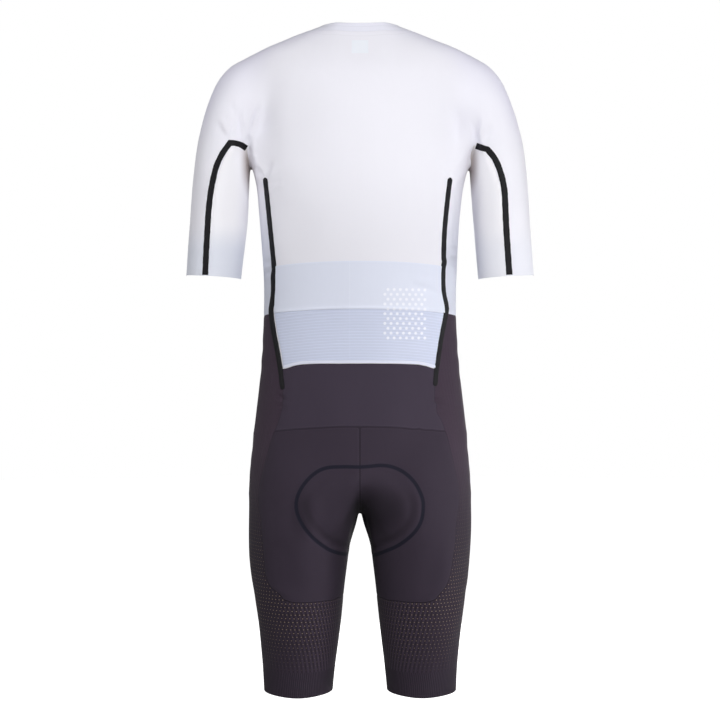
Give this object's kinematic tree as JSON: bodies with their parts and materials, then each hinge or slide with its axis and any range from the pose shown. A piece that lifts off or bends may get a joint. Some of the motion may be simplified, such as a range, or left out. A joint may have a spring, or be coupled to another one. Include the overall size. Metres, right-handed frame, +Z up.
{
  "type": "cycling skinsuit",
  "caption": "Short-sleeved cycling skinsuit with mid-thigh legs, filled out as worn: low collar, bonded tapes, a band pocket low on the back, a seat pad and a closed front zip.",
  "frame": {"origin": "middle of the neck opening, level with the base of the neck, where the garment hangs on a wearer or a hanger", "axes": "+Z up along the body, -Y towards the garment's back, +X towards the wearer's right"},
  "size_m": [0.5196, 0.2362, 0.9935],
  "materials": {
    "white_jersey": "smooth stretch jersey with a soft sheen",
    "under_sleeve_jersey": "smooth stretch jersey",
    "pale_blue_jersey": "smooth stretch jersey",
    "collar_jersey": "smooth stretch jersey",
    "pocket_band": "smooth stretch jersey",
    "pocket_ribs": "finely ribbed knit",
    "pocket_edge": "smooth binding",
    "label": "smooth bonded patch",
    "bonded_tape": "matte bonded tape",
    "waist_jersey": "smooth dark jersey",
    "seat_jersey": "smooth dark jersey",
    "dotted_knit": "dark knit with small open dots",
    "hem_ribs": "finely ribbed gripper band",
    "pad_foam": "cloth-faced foam",
    "zip_teeth": "satin",
    "zip_metal": "satin"
  },
  "bodies": {
    "garment": {"back": "white_jersey", "front_left": "white_jersey", "front_right": "white_jersey", "under_sleeve_left": "under_sleeve_jersey", "under_sleeve_right": "under_sleeve_jersey", "side_panel_left": "pale_blue_jersey", "side_panel_right": "pale_blue_jersey", "collar": "collar_jersey", "pocket_upper": "pocket_band", "pocket_lower": "pocket_ribs", "pocket_hem": "pocket_edge", "label": "label", "body_tape_left": "bonded_tape", "body_tape_right": "bonded_tape", "sleeve_tape_left": "bonded_tape", "sleeve_tape_right": "bonded_tape", "waist_back": "waist_jersey", "seat_left": "seat_jersey", "seat_right": "seat_jersey", "front_leg_left": "seat_jersey", "front_leg_right": "seat_jersey", "mesh_leg_left": "dotted_knit", "mesh_leg_right": "dotted_knit", "leg_hem_left": "hem_ribs", "leg_hem_right": "hem_ribs", "seat_pad": "pad_foam", "zip_chain": "zip_teeth", "zip_slider": "zip_metal"},
    "zip_pull": {"zip_pull": "zip_metal"}
  },
  "joints": [
    {"name": "zip_pull_hinge", "type": "hinge", "parent": "garment", "child": "zip_pull", "pos_m": [0, 0.06689, -0.06171], "axis": [1, 0, 0], "range_deg": [0, 150]}
  ]
}
